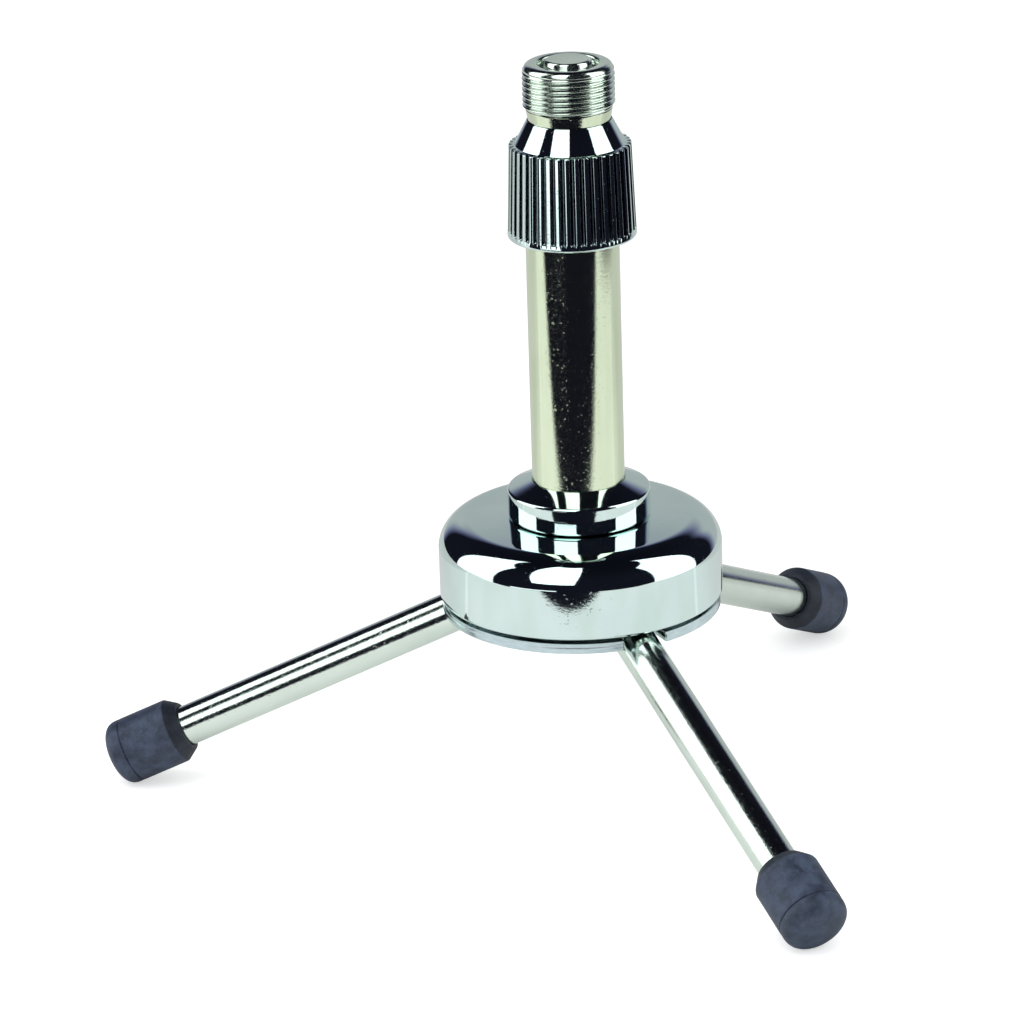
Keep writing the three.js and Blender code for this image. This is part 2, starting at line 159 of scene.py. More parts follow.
# The pale table, as seen in reflections: towards each side, how far it reaches from the stand, and
# half the width of its soft edge. Its front edge is turned a little to the picture's left.
TABLE_TURN = math.radians(9)
TO_FRONT = math.cos(TABLE_TURN) * TO_CAMERA - math.sin(TABLE_TURN) * TO_RIGHT
TABLE_EDGES = (
    (TO_FRONT, 0.1312, 0.002),
    (TO_RIGHT, 0.315, 0.015),
    (-TO_RIGHT, 0.60, 0.01),
    (-TO_CAMERA, 0.75, 0.01),
)
TABLE_GLEAMS = (-98, 97)        # bearings of two narrow bright streaks on the table
GLEAM = 1.16                    # how much brighter the streaks are
BACK_SHADE = 0.71               # how bright the table is behind the stand, against 1 in front
FLOOR_RADIUS = 6
FLOOR_LIFT = 0.52               # washes out the floor in the picture, as in a bright studio

# Light panels as the polished parts see them, in degrees: azimuths of the left and the right edge,
# each at the foot and at the head, from the camera's side towards the picture's right; elevations
# of the foot, and of the head at its left and right ends; brightness. Each blur is half a soft edge.
PANELS = (
    ((-115, -115), (-74, -74), (-9.5, 68, 50), 1.9),
    ((-40, -60), (-6, 3), (15.5, 78, 78), 1.9),
    ((60, 60), (103, 103), (-9.5, 50, 68), 1.9),
    ((-58, -58), (-20, -20), (-13.6, -9, -9), 1.6),
)
PANEL_BLUR = 1.0
BACKDROP = ((126, 142), (216, 200), (-30, 28, 28), 0.49)
BACKDROP_BLUR = 9.0

# The room between the panels: its glow low down and overhead, its tint, and the panels' tint
ROOM_GLOW = (0.009, 0.005)
ROOM_TINT = (0.84, 0.87, 1.62, 1)
PANEL_TINT = (0.94, 1.0, 1.02, 1)
SOFT_LIGHT = (0.55, 0.95)       # what matt surfaces get from below and from above


def bearing_of(nodes, direction):
    """Degrees round the stand, from the camera's side towards the picture's right."""
    bearing = nodes.math("ARCTAN2", nodes.along(direction, TO_RIGHT), nodes.along(direction, TO_CAMERA))
    return nodes.math("MULTIPLY", bearing, math.degrees(1))


def panel_mask(nodes, azimuth, elevation, panel, blur):
    """Brightness of a panel in a direction, blurred at its edges."""
    left, right, (foot, head_left, head_right), brightness = panel
    head = max(head_left, head_right)
    left_edge = nodes.remap(elevation, foot, head, *left, smooth=False)
    right_edge = nodes.remap(elevation, foot, head, *right, smooth=False)
    head_edge = nodes.remap(azimuth, left[0], right[0], head_left, head_right, smooth=False)
    sides = nodes.math(
        "MULTIPLY",
        nodes.remap(nodes.math("SUBTRACT", azimuth, left_edge), -blur, blur),
        nodes.remap(nodes.math("SUBTRACT", right_edge, azimuth), -blur, blur),
    )
    ends = nodes.math(
        "MULTIPLY",
        nodes.remap(elevation, foot - blur, foot + blur),
        nodes.remap(nodes.math("SUBTRACT", head_edge, elevation), -blur, blur),
    )
    return nodes.math("MULTIPLY", nodes.math("MULTIPLY", sides, ends), brightness)


def make_world():
    """Even soft light for matt surfaces and the floor; panels in a dark room for the polished ones."""
    world = bpy.data.worlds.new("studio")
    bpy.context.scene.world = world
    world.use_nodes = True
    nodes = Nodes(world.node_tree)
    direction = nodes.add("ShaderNodeTexCoord").outputs["Generated"]
    azimuth = bearing_of(nodes, direction)
    full_azimuth = nodes.math("MODULO", nodes.math("ADD", azimuth, 360.0), 360.0)
    height = nodes.along(direction, UP)
    elevation = nodes.math("MULTIPLY", nodes.math("ARCSINE", height), math.degrees(1))

    glow = nodes.remap(elevation, 20, 75, *ROOM_GLOW)
    for panel in PANELS:
        glow = nodes.math("MAXIMUM", glow, panel_mask(nodes, azimuth, elevation, panel, PANEL_BLUR))
    backdrop = panel_mask(nodes, full_azimuth, elevation, BACKDROP, BACKDROP_BLUR)
    glow = nodes.math("MAXIMUM", glow, backdrop)
    tinted = nodes.mix(nodes.remap(glow, 0.02, 0.5), ROOM_TINT, PANEL_TINT)
    room = nodes.add("ShaderNodeBackground", {"Color": tinted, "Strength": glow})
    soft = nodes.add("ShaderNodeBackground", {
        "Color": WHITE, "Strength": nodes.remap(elevation, -20, 60, *SOFT_LIGHT),
    })
    white = nodes.add("ShaderNodeBackground", {"Color": WHITE, "Strength": 1.0})
    path = nodes.add("ShaderNodeLightPath")
    lit = nodes.add("ShaderNodeMixShader", {
        0: path.outputs["Is Diffuse Ray"], 1: room.outputs[0], 2: soft.outputs[0],
    })
    seen = nodes.add("ShaderNodeMixShader", {
        0: path.outputs["Is Camera Ray"], 1: lit.outputs[0], 2: white.outputs[0],
    })
    nodes.add("ShaderNodeOutputWorld", {"Surface": seen.outputs[0]})


def make_floor():
    """A pale floor. Polished parts see only the lit table top round the stand."""
    bpy.ops.mesh.primitive_circle_add(vertices=96, radius=FLOOR_RADIUS, fill_type="NGON")
    floor = bpy.context.object
    floor.name = "floor"
    material = bpy.data.materials.new("floor")
    material.use_nodes = True
    nodes = Nodes(material.node_tree)
    place = nodes.add("ShaderNodeNewGeometry").outputs["Position"]
    off_table = 0.0
    for side, reach, blur in TABLE_EDGES:
        past_edge = nodes.remap(nodes.along(place, side), reach - blur, reach + blur)
        off_table = nodes.math("MAXIMUM", off_table, past_edge)
    path = nodes.add("ShaderNodeLightPath")
    hidden = nodes.math("MULTIPLY", off_table, path.outputs["Is Glossy Ray"])
    grain = nodes.noise(place, 900, 3)
    stains = nodes.noise(place, 16, 2)
    shade = nodes.remap(nodes.along(place, -TO_CAMERA), -0.01, 0.13, 1.0, BACK_SHADE)
    bearing = bearing_of(nodes, place)
    gleam = nodes.math("MAXIMUM", *(
        nodes.remap(nodes.math("ABSOLUTE", nodes.math("SUBTRACT", bearing, middle)), 1.0, 2.2, GLEAM, 1.0)
        for middle in TABLE_GLEAMS
    ))
    bright = nodes.mix(nodes.remap(grain, 0.3, 0.7), (0.79, 0.795, 0.80, 1), (0.81, 0.815, 0.82, 1))
    tone = nodes.mix(nodes.remap(stains, 0.4, 0.62, 0.0, 0.5), bright, (0.70, 0.74, 0.70, 1))
    tone = nodes.scaled(tone, nodes.math("MULTIPLY", shade, gleam))
    pale = nodes.add("ShaderNodeBsdfDiffuse", {"Color": tone})
    lift = nodes.add("ShaderNodeEmission", {
        "Color": WHITE,
        "Strength": nodes.math("MULTIPLY", path.outputs["Is Camera Ray"], FLOOR_LIFT),
    })
    lit = nodes.add("ShaderNodeAddShader", {0: pale.outputs[0], 1: lift.outputs[0]})
    clear = nodes.add("ShaderNodeBsdfTransparent")
    shown = nodes.add("ShaderNodeMixShader", {0: hidden, 1: lit.outputs[0], 2: clear.outputs[0]})
    nodes.add("ShaderNodeOutputMaterial", {"Surface": shown.outputs[0]})
    floor.data.materials.append(material)


def make_light(name, place, aim, size, power):
    """A large soft light over the stand, kept out of the reflections, where the panels are."""
    data = bpy.data.lights.new(name, "AREA")
    data.shape = "DISK"
    data.size = size
    data.energy = power
    light = bpy.data.objects.new(name, data)
    light.location = place
    light.rotation_mode = "QUATERNION"
    light.rotation_quaternion = (Vector(aim) - Vector(place)).to_track_quat("-Z", "Y")
    light.visible_glossy = False
    light.visible_camera = False
    bpy.context.scene.collection.objects.link(light)


make_world()
make_floor()
make_light("key", place=(-0.35, -0.35, 0.95), aim=(0, 0, 0.05), size=0.7, power=2.2)
bpy.context.scene.view_settings.view_transform = "Standard"

# ---------------------------------------------------------------- finishes


def new_material(name):
    material = bpy.data.materials.new(name)
    material.use_nodes = True
    return material, Nodes(material.node_tree)


def finish_material(nodes, shader, height, strength, distance):
    """Gives the shader a bump from a height and its strength and depth, and makes it the surface."""
    bump = nodes.add("ShaderNodeBump", {"Strength": strength, "Distance": distance, "Height": height})
    nodes.feed(shader.inputs["Normal"], bump.outputs[0])
    nodes.add("ShaderNodeOutputMaterial", {"Surface": shader.outputs[0]})


def plated(name, light_tone, dark_tone, roughness, grain, grain_scale):
    """Bright plate: slight cloudiness, fine grain, and sparse specks of dust and pits."""
    material, nodes = new_material(name)
    place = nodes.add("ShaderNodeTexCoord").outputs["Object"]
    cloud = nodes.noise(place, 90, 3)
    fine = nodes.noise(place, grain_scale, 2)
    pits = nodes.remap(nodes.noise(place, grain_scale * 0.55, 1), 0.68, 0.76)
    rough = nodes.math("MULTIPLY_ADD", nodes.remap(fine, 0.35, 0.7), roughness * 0.7, roughness * 0.6)
    rough = nodes.math("MULTIPLY_ADD", pits, 0.12, rough)
    shader = nodes.add("ShaderNodeBsdfPrincipled", {
        "Base Color": nodes.mix(nodes.remap(cloud, 0.35, 0.65), dark_tone, light_tone),
        "Metallic": 1.0,
        "Roughness": rough,
    })
    height = nodes.math("MULTIPLY_ADD", pits, -0.8, fine)
    finish_material(nodes, shader, height, grain, 0.00006)
    return material


def worked_metal(name, light_tone, dark_tone, roughness, scale, strength):
    """Plain worked metal: satin, with streaks, wear and a fine rough skin."""
    material, nodes = new_material(name)
    place = nodes.add("ShaderNodeTexCoord").outputs["Object"]
    streaks = nodes.noise(nodes.scaled(place, (1.0, 1.0, 6.0)), scale * 0.4, 5)
    skin = nodes.noise(place, scale, 6, 0.7)
    shader = nodes.add("ShaderNodeBsdfPrincipled", {
        "Base Color": nodes.mix(nodes.remap(streaks, 0.3, 0.7), dark_tone, light_tone),
        "Metallic": 1.0,
        "Roughness": nodes.math("MULTIPLY_ADD", streaks, roughness * 0.8, roughness * 0.6),
    })
    finish_material(nodes, shader, skin, strength, 0.0001)
    return material


def make_rubber(name, tone_scale):
    """Moulded rubber: dark blue-grey, a little paler where it is rubbed, with a fine uneven skin."""
    material, nodes = new_material(name)
    place = nodes.add("ShaderNodeTexCoord").outputs["Object"]
    bloom = nodes.noise(place, 380, 8, 0.66)
    skin = nodes.noise(place, 1700, 5, 0.65)
    specks = nodes.remap(nodes.noise(place, 1300, 2), 0.62, 0.76)
    base = nodes.mix(nodes.remap(bloom, 0.32, 0.7), (0.019, 0.027, 0.050, 1), (0.054, 0.075, 0.127, 1))
    tone = nodes.mix(nodes.math("MULTIPLY", specks, 0.35), base, (0.10, 0.12, 0.16, 1))
    shader = nodes.add("ShaderNodeBsdfPrincipled", {
        "Base Color": nodes.scaled(tone, (tone_scale, tone_scale, tone_scale)),
        "Roughness": nodes.remap(bloom, 0.3, 0.7, 0.46, 0.58),
        "Specular IOR Level": 0.45,
    })
    finish_material(nodes, shader, nodes.math("MULTIPLY_ADD", bloom, 0.5, skin), 0.45, 0.00008)
    return material


def make_nylon():
    """Natural nylon: cream, slightly cloudy, with a faint moulded skin."""
    material, nodes = new_material("nylon")
    place = nodes.add("ShaderNodeTexCoord").outputs["Object"]
    cloud = nodes.noise(place, 160, 4)
    skin = nodes.noise(place, 2200, 3)
    shader = nodes.add("ShaderNodeBsdfPrincipled", {
        "Base Color": nodes.mix(cloud, (0.60, 0.57, 0.48, 1), (0.76, 0.74, 0.66, 1)),
        "Roughness": nodes.remap(cloud, 0.3, 0.7, 0.4, 0.58),
        "Subsurface Weight": 0.15,
        "Subsurface Scale": 0.001,
    })
    finish_material(nodes, shader, skin, 0.15, 0.00005)
    return material


FINISHES = {
    "chrome": plated("chrome", (0.73, 0.85, 0.82, 1), (0.69, 0.82, 0.79, 1), 0.035, 0.03, 2600),
    "nickel": plated("nickel", (0.80, 0.88, 0.66, 1), (0.76, 0.84, 0.62, 1), 0.08, 0.15, 3800),
    "steel": worked_metal("steel", (0.66, 0.77, 0.80, 1), (0.55, 0.66, 0.69, 1), 0.2, 1400, 0.06),
    "zinc": worked_metal("zinc", (0.52, 0.53, 0.54, 1), (0.36, 0.37, 0.38, 1), 0.45, 900, 0.4),
    "brass": worked_metal("brass", (0.80, 0.65, 0.32, 1), (0.60, 0.46, 0.20, 1), 0.25, 1500, 0.1),
    "rubber": make_rubber("rubber", 1.0),
    "nylon": make_nylon(),
}
PALE_NICKEL = plated("nickel_leg", (0.79, 0.87, 0.79, 1), (0.74, 0.82, 0.74, 1), 0.13, 0.22, 3800)
WORN_NICKEL = plated("nickel_thread", (0.84, 0.93, 0.82, 1), (0.74, 0.83, 0.73, 1), 0.17, 0.03, 2600)
# Near-black chrome for the bottoms of the nut's flutes: painted shade in the grooves, not a different metal.
SHADED_GROOVE_CHROME = plated("chrome_groove_painted_shade", (0.13, 0.16, 0.18, 1), (0.08, 0.10, 0.12, 1), 0.12, 0.05, 2600)
# A darker copy of the same rubber for the feet's mouth bevel: painted shade where the foot meets the leg tube.
SHADED_RUBBER_MOUTH = make_rubber("rubber_mouth_painted_shade", 0.32)
SLOT_OF = {row["node"]: row["material_slot"] for row in frame["record"]["subparts"]}
for node_name, node_object in frame["nodes"].items():
    node_object.data.materials.clear()
    node_object.data.materials.append(FINISHES[SLOT_OF[node_name]])

# ---------------------------------------------------------------- shape helpers

ROUND_STEPS = 6             # mesh steps round a fillet
HOLD = 0.05 * MM            # how far past a fillet its flat is held
ON_AXIS = 1e-9              # a point nearer to the axis than this is on it


def rounded(corners):
    """A closed outline from (x, y, fillet) corners, each rounded to its fillet radius.
    A point just past each end of a fillet keeps the flat beside it flat under smooth shading."""
    points = []
    count = len(corners)
    for i, (x, y, fillet) in enumerate(corners):
        corner = Vector((x, y))
        before = Vector(corners[i - 1][:2]) - corner
        after = Vector(corners[(i + 1) % count][:2]) - corner
        if fillet == 0:
            points.append((x, y))
            continue
        half = before.angle(after) / 2
        reach = fillet / math.tan(half)
        towards_before = before.normalized()
        towards_after = after.normalized()
        centre = corner + (towards_before + towards_after).normalized() * (fillet / math.sin(half))
        start = corner + towards_before * reach - centre
        sweep = start.angle_signed(corner + towards_after * reach - centre)
        if reach + 2 * HOLD < before.length / 2:
            points.append(tuple(corner + towards_before * (reach + HOLD)))
        for step in range(ROUND_STEPS + 1):
            points.append(tuple(centre + Matrix.Rotation(-sweep * step / ROUND_STEPS, 2) @ start))
        if reach + 2 * HOLD < after.length / 2:
            points.append(tuple(corner + towards_after * (reach + HOLD)))
    return points


def mesh_object(name, bm, sharp=35):
    """Turns a bmesh into a linked object, smooth except at edges sharper than the angle."""
    bmesh.ops.remove_doubles(bm, verts=bm.verts, dist=1e-7)
    bmesh.ops.dissolve_degenerate(bm, edges=bm.edges, dist=1e-8)
    bmesh.ops.recalc_face_normals(bm, faces=bm.faces)
    mesh = bpy.data.meshes.new(name)
    bm.to_mesh(mesh)
    bm.free()
    mesh.shade_smooth()
    mesh.set_sharp_from_angle(angle=math.radians(sharp))
    piece = bpy.data.objects.new(name, mesh)
    bpy.context.scene.collection.objects.link(piece)
    return piece


def turned(name, outline, segments, shape=None, sharp=35):
    """A turned piece about Z. The outline is closed, or starts and ends on the axis.
    shape(angle, radius, height) may return a changed radius, for flutes, flats and threads."""
    bm = bmesh.new()
    rings = []
    for radius, height in outline:
        if radius < ON_AXIS:
            rings.append([bm.verts.new((0, 0, height))] * segments)
            continue
        ring = []
        for i in range(segments):
            angle = 2 * math.pi * i / segments
            reach = shape(angle, radius, height) if shape else radius
            ring.append(bm.verts.new((reach * math.cos(angle), reach * math.sin(angle), height)))
        rings.append(ring)
    is_open = outline[0][0] < ON_AXIS
    following = rings[1:] if is_open else rings[1:] + rings[:1]
    for low, high in zip(rings, following):
        for i in range(segments):
            j = (i + 1) % segments
            corners = list(dict.fromkeys((low[i], low[j], high[j], high[i])))
            if len(corners) > 2:
                bm.faces.new(corners)
    return mesh_object(name, bm, sharp)


def stamped(name, loops, thickness, edge):
    """A flat piece with rounded edges, centred on z = 0, from an outline and its holes."""
    curve = bpy.data.curves.new(name, "CURVE")
    curve.dimensions = "2D"
    curve.fill_mode = "BOTH"
    curve.extrude = thickness / 2 - edge
    curve.bevel_depth = edge
    curve.bevel_resolution = 2
    curve.offset = -edge
    for loop in loops:
        spline = curve.splines.new("POLY")
        spline.points.add(len(loop) - 1)
        for point, (x, y) in zip(spline.points, loop):
            point.co = (x, y, 0, 1)
        spline.use_cyclic_u = True
    source = bpy.data.objects.new(name, curve)
    bpy.context.scene.collection.objects.link(source)
    bpy.context.view_layer.update()
    evaluated = source.evaluated_get(bpy.context.evaluated_depsgraph_get())
    mesh = bpy.data.meshes.new_from_object(evaluated)
    bm = bmesh.new()
    bm.from_mesh(mesh)
    bpy.data.objects.remove(source)
    bpy.data.meshes.remove(mesh)
    return mesh_object(name, bm)


def stacked(name, outer, inner, sharp):
    """A flat piece with a hole, from (loop, height) levels of its outline and of its hole."""
    bm = bmesh.new()
    foot = []
    head = []
    for levels in (outer, inner):
        rings = [[bm.verts.new((x, y, height)) for x, y in loop] for loop, height in levels]
        for low, high in zip(rings, rings[1:]):
            for i in range(len(low)):
                bm.faces.new((low[i - 1], low[i], high[i], high[i - 1]))
        foot += [bm.edges.get((rings[0][i - 1], rings[0][i])) for i in range(len(rings[0]))]
        head += [bm.edges.get((rings[-1][i - 1], rings[-1][i])) for i in range(len(rings[-1]))]
    for edges in (foot, head):
        bmesh.ops.triangle_fill(bm, use_beauty=True, edges=edges)
    return mesh_object(name, bm, sharp)


def circle(x, y, radius, start=0.0, end=360.0, count=48):
    """Points round a circle or an arc, in degrees; the last point is left out of a full turn."""
    full = abs(end - start) >= 360
    steps = count if full else count - 1
    return [
        (
            x + radius * math.cos(math.radians(start + (end - start) * i / steps)),
            y + radius * math.sin(math.radians(start + (end - start) * i / steps)),
        )
        for i in range(count)
    ]


def stand_for(piece, node, matrix=None, finish=None):
    """Puts a piece in place of a CAD node, on its body and with its slot's finish or a variant of it."""
    if matrix is not None:
        piece.data.transform(matrix)
    slot_name = SLOT_OF[node]
    piece.data.materials.append(finish or FINISHES[slot_name])
    bodies = frame["record"]["behaviour"]["bodies"]
    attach(piece, next(body for body, names in bodies.items() if node in names))
    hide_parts(node)


def span(node):
    """(outer radius, bottom, top) of a CAD node that is turned about the stand's axis."""
    low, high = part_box(node)
    return (high.x - low.x) / 2, low.z, high.z


def cut_away(piece, cutters):
    """Cuts the cutters out of a piece and removes them."""
    for cutter in cutters:
        modifier = piece.modifiers.new("cut", "BOOLEAN")
        modifier.operation = "DIFFERENCE"
        modifier.solver = "EXACT"
        modifier.object = cutter
    bpy.context.view_layer.update()
    evaluated = piece.evaluated_get(bpy.context.evaluated_depsgraph_get())
    mesh = bpy.data.meshes.new_from_object(evaluated)
    piece.modifiers.clear()
    piece.data = mesh
    mesh.set_sharp_from_angle(angle=math.radians(30))
    for cutter in cutters:
        bpy.data.objects.remove(cutter)
    return piece


# ---------------------------------------------------------------- base

TUBE_RADIUS, TUBE_BOTTOM, TUBE_TOP = span("outer_tube")
TUBE_FIT = 0.04 * MM                    # how closely the collar and the nut hug the tubes


def make_cover():
    """Chromed cover: a spun shell with a rounded rim, and a faint crease below its round shoulder."""
    radius, rim, top = span("base_cover")
    wall = 1.0 * MM
    hole = TUBE_RADIUS + 0.25 * MM
    shoulder = 5.58 * MM
    crease = rim + 9.05 * MM
    crease_angle = 6.5
    crown_angle = 88.4
    centre = (
        radius - shoulder * math.cos(math.radians(crease_angle)),
        crease - shoulder * math.sin(math.radians(crease_angle)),
    )
    foot = rounded([
        (radius - wall, crease, 0),
        (radius - wall, rim, 0.2 * MM),
        (radius, rim, 0.45 * MM),
        (radius, crease, 0),
    ])[1:]
    outside = circle(*centre, shoulder, crease_angle, crown_angle, 28)
    inside = circle(*centre, shoulder - wall, crown_angle, crease_angle, 16)
    outline = foot[:-1] + [(radius, crease - HOLD)] + outside
    outline += [(hole + HOLD, top), (hole, top - HOLD), (hole, top - wall)] + inside
    stand_for(turned("cover", outline, 256), "base_cover")


def make_collar():
    """Chromed collar: straight side, small rounded edges, and a low cone that closes on the tube."""
    radius, bottom, top = span("base_collar")
    bore = TUBE_RADIUS + TUBE_FIT
    edge = top - 1.7 * MM
    outline = rounded([
        (bore, bottom, 0),
        (radius, bottom, 0.5 * MM),
        (radius, edge, 0.55 * MM),
        (bore + 0.12 * MM, top, 0.05 * MM),
        (bore, top - 0.1 * MM, 0),
    ])
    stand_for(turned("collar", outline, 224), "base_collar")


def make_outer_tube():
    wall = 0.8 * MM
    outline = rounded([
        (TUBE_RADIUS - wall, TUBE_BOTTOM, 0.15 * MM),
        (TUBE_RADIUS, TUBE_BOTTOM, 0.25 * MM),
        (TUBE_RADIUS, TUBE_TOP, 0.25 * MM),
        (TUBE_RADIUS - wall, TUBE_TOP, 0.15 * MM),
    ])
    stand_for(turned("column_tube", outline, 224), "outer_tube")


# The hinges, from the CAD's own joints
LEGS = [joint for joint in frame["joints"] if joint["name"].startswith("leg_fold")]


def leg_frame(joint):
    """Hinge pin place, and the directions along the leg, up from it and along the pin."""
    number = joint["name"].rsplit("_", 1)[1]
    pivot = Vector(joint["pos_m"])
    low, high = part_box(f"leg_tube_{number}")
    along = ((low + high) / 2 - pivot).normalized()
    pin = Vector(joint["axis"]).normalized()
    up = along.cross(pin).normalized()
    if up.z < 0:
        up = -up
    along = (along - pin * along.dot(pin)).normalized()
    return number, pivot, along, up, pin


def leg_matrix(pivot, along, up):
    """From a leg's own frame, Z along the leg and Y up from it, to the stand's frame."""
    return Matrix.Translation(pivot) @ turned_to(up.cross(along), up, along)


def pin_matrix(pivot, pin):
    """From a hinge pin's own frame, Z along the pin, to the stand's frame."""
    return Matrix.Translation(pivot) @ pin.to_track_quat("Z", "Y").to_matrix().to_4x4()


def along_leg(node, pivot, along):
    """(largest radius, nearest, furthest) of a CAD node about a leg's axis, measured from its pin."""
    reaches = []
    radii = []
    for vertex in frame["nodes"][node].data.vertices:
        offset = vertex.co - pivot
        reach = offset.dot(along)
        reaches.append(reach)
        radii.append((offset - along * reach).length)
    return max(radii), min(reaches), max(reaches)


def plate_loop(radius, half_slot, corner, inset):
    """Outline of the base plate, drawn in by the inset: a slot open at the rim for each leg."""
    loop = []
    side = half_slot + corner
    shoulder = math.sqrt((radius - corner) ** 2 - side ** 2)
    lean = math.degrees(math.atan2(side, shoulder))
    third = 120
    margin = 0.8
    for joint in LEGS:
        pivot = Vector(joint["pos_m"])
        points = circle(shoulder, -side, corner - inset, -lean, 90, 8)
        points += circle(pivot.xy.length, 0, half_slot + inset, 270, 90, 24)
        points += circle(shoulder, side, corner - inset, 270, 360 + lean, 8)
        points += circle(0, 0, radius - inset, lean + margin, third - lean - margin, 64)
        turn = Matrix.Rotation(math.atan2(pivot.y, pivot.x), 2)
        loop += [tuple(turn @ Vector(point)) for point in points]
    return loop


def make_plate():
    """Stamped base plate: the upper half of its rim is drawn in, under a fine burr."""
    node = frame["nodes"]["bottom_plate"]
    radius = max(vertex.co.xy.length for vertex in node.data.vertices)
    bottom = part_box("bottom_plate")[0].z
    half_slot = 4.0 * MM
    corner = 0.3 * MM
    hole = 3.2 * MM
    thickness = 1.85
    # How far each level of the rim is drawn in, and its height, in millimetres
    rim = [
        (0.12, 0),
        (0.04, 0.03),
        (0, 0.12),
        (0, 1.02),
        (0.004, 1.08),
        (0.05, 1.66),
        (0.02, 1.7),
        (0.02, 1.8),
        (0.1, thickness),
    ]
    outer = [
        (plate_loop(radius, half_slot, corner, inset * MM), bottom + height * MM)
        for inset, height in rim
    ]
    inner = [(circle(0, 0, hole), bottom + height * MM) for height in (0, thickness)]
    stand_for(stacked("base_plate", outer, inner, 50), "bottom_plate")


def make_hub():
    """Cast hub with its three slots and cross-drilled pin holes."""
    radius, bottom, top = span("hinge_hub")
    ledge = bottom + 5.7 * MM
    floor_height = TUBE_BOTTOM - 0.1 * MM
    hole = 3.2 * MM
    boss = 10.6 * MM
    socket = TUBE_RADIUS + 0.1 * MM
    outline = rounded([
        (hole, bottom, 0.2 * MM),
        (radius, bottom, 0.5 * MM),
        (radius, ledge, 0.8 * MM),
        (boss, ledge + 0.8 * MM, 0.8 * MM),
        (boss, top, 0.4 * MM),
        (socket, top, 0.2 * MM),
        (socket, floor_height, 0),
        (hole, floor_height, 0.2 * MM),
    ])
    hub = turned("hub", outline, 128)
    roof = 2.4 * MM               # from the pin up to the slot's sloping roof
    eye = 3.4 * MM                # the slot's round end, about the pin
    reach = 6 * MM                # how far out and down the cutter goes
    slot_width = 3.5 * MM
    bore_radius = 1.3 * MM
    bore_half = 14 * MM
    bore_outline = [(0, -bore_half), (bore_radius, -bore_half), (bore_radius, bore_half), (0, bore_half)]
    cutters = []
    for joint in LEGS:
        number, pivot, along, _, pin = leg_frame(joint)
        out = Vector((pivot.x, pivot.y, 0)).normalized()
        slope = math.asin(-along.z)
        start = 90 - math.degrees(slope) - math.degrees(math.acos(roof / eye))
        end_height = (roof - reach * math.sin(slope)) / math.cos(slope)
        loop = [(-eye, -reach), (reach, -reach), (reach, end_height)]
        loop += circle(0, 0, eye, start, 180, 24)
        slot = stamped(f"slot_{number}", [loop], slot_width, 0.01 * MM)
        slot.data.transform(Matrix.Translation(pivot) @ turned_to(out, UP, out.cross(UP)))
        bore = turned(f"bore_{number}", bore_outline, 32)
        bore.data.transform(pin_matrix(pivot, pin))
        cutters += [slot, bore]
    stand_for(cut_away(hub, cutters), "hinge_hub")


def make_base_screw():
    """Hexagon screw with a chamfered head."""
    low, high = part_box("base_screw")
    half_across = (high.y - low.y) / 2
    head_top = low.z + 4 * MM
    chamfer = 0.55 * MM
    chamfer_slope = 1.9
    shank = 2.9 * MM

    def hexagon(angle, radius, height):
        if height > head_top - 0.01 * MM:
            return radius
        sector = math.radians(60)
        flat = half_across / math.cos((angle + sector / 2) % sector - sector / 2)
        chamfered = half_across + (height - low.z) * chamfer_slope + 0.02 * MM
        return min(radius, flat, chamfered)

    head = half_across / math.cos(math.radians(30))
    outline = [(0, low.z), (half_across * 0.6, low.z)]
    outline += [(head, low.z + chamfer * i / 8) for i in range(9)]
    outline += [
        (head, head_top - 0.05 * MM),
        (shank, head_top),
        (shank, high.z - 0.6 * MM),
        (shank - 0.6 * MM, high.z),
        (0, high.z),
    ]
    turn = Matrix.Rotation(math.radians(30), 4, "Z")
    stand_for(turned("hex_screw", outline, 180, hexagon, 25), "base_screw", turn)


def make_washer():
    radius, bottom, top = span("base_washer")
    hole = 3.1 * MM
    outline = rounded([
        (hole, bottom, 0.1 * MM),
        (radius, bottom, 0.25 * MM),
        (radius, top, 0.12 * MM),
        (hole, top, 0.1 * MM),
    ])
    stand_for(turned("washer", outline, 96), "base_washer")


make_cover()
make_collar()
make_outer_tube()
make_plate()
make_hub()
make_base_screw()
make_washer()

# ---------------------------------------------------------------- legs

FOOT_DOME = 3.8 * MM           # height of the domed end
FOOT_DOME_POWER = 0.57
FOOT_BODY = 12.7 * MM          # from the tip to the bevelled lip


def make_pin(number, pivot, pin):
    """Hinge pin with slightly domed ends."""
    radius = 1.25 * MM
    half = 6.5 * MM
    outline = [(0, -half)]
    outline += rounded([
        (0.9 * MM, -half + 0.05 * MM, 0),
        (radius, -half + 0.1 * MM, 0.15 * MM),
        (radius, half - 0.1 * MM, 0.15 * MM),
        (0.9 * MM, half - 0.05 * MM, 0),
    ])
    outline += [(0, half)]
    stand_for(turned(f"pin_{number}", outline, 48), f"leg_pin_{number}", pin_matrix(pivot, pin))


def make_tongue(number, pivot, along, up):
    """Flat tongue with a round eye, crimped in the leg's end."""
    half = 2.1 * MM
    eye = 3.0 * MM
    length = 20 * MM
    neck = math.degrees(math.asin(half / eye))
    outline = [(length, -half), (length, half)]
    outline += circle(0, 0, eye, neck, 360 - neck, 40)
    hole = circle(0, 0, 1.33 * MM, count=32)
    piece = stamped(f"tongue_{number}", [outline, hole], 3 * MM, 0.25 * MM)
    place = Matrix.Translation(pivot) @ turned_to(along, up, along.cross(up))
    stand_for(piece, f"leg_tongue_{number}", place)


